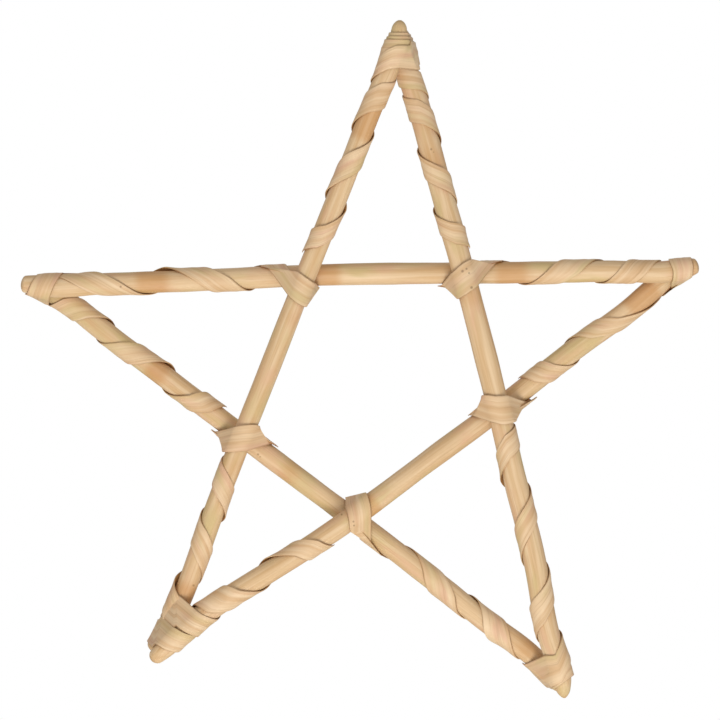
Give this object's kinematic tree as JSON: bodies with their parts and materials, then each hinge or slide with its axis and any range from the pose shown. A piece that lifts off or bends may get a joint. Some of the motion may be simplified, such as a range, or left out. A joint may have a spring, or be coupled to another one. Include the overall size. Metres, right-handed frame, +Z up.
{
  "type": "wicker star decoration",
  "caption": "Flat five-pointed hanging star of crossed peeled willow rods, with flat willow strips wound round its points, crossings and tips.",
  "frame": {"origin": "where the star hangs: the notch under the bound top tip, where the two upper rods part, in the middle of the star's depth", "axes": "+Z up when hung, +X to the right seen from the front, -Y out of the front face; the star lies upright in the XZ plane"},
  "size_m": [0.3994, 0.0476, 0.3982],
  "materials": {
    "willow_rod": "peeled willow rod, pale honey tan with a low satin sheen and fine grain along the rod",
    "willow_strip": "flat peeled willow strip, pale honey tan with yellow, pink and orange-brown patches, brown edges and grain along the strip"
  },
  "bodies": {
    "root": {"rod_left_right": "willow_rod", "rod_top_bottom_left": "willow_rod", "rod_top_bottom_right": "willow_rod", "rod_left_bottom_right": "willow_rod", "rod_right_bottom_left": "willow_rod", "wrap_left_upper": "willow_strip", "wrap_left_lower": "willow_strip", "wrap_top_left": "willow_strip", "wrap_top_right": "willow_strip", "wrap_right_upper": "willow_strip", "wrap_right_lower": "willow_strip", "wrap_bottom_left_outer": "willow_strip", "wrap_bottom_left_inner": "willow_strip", "wrap_bottom_right_inner": "willow_strip", "wrap_bottom_right_outer": "willow_strip"}
  },
  "joints": []
}
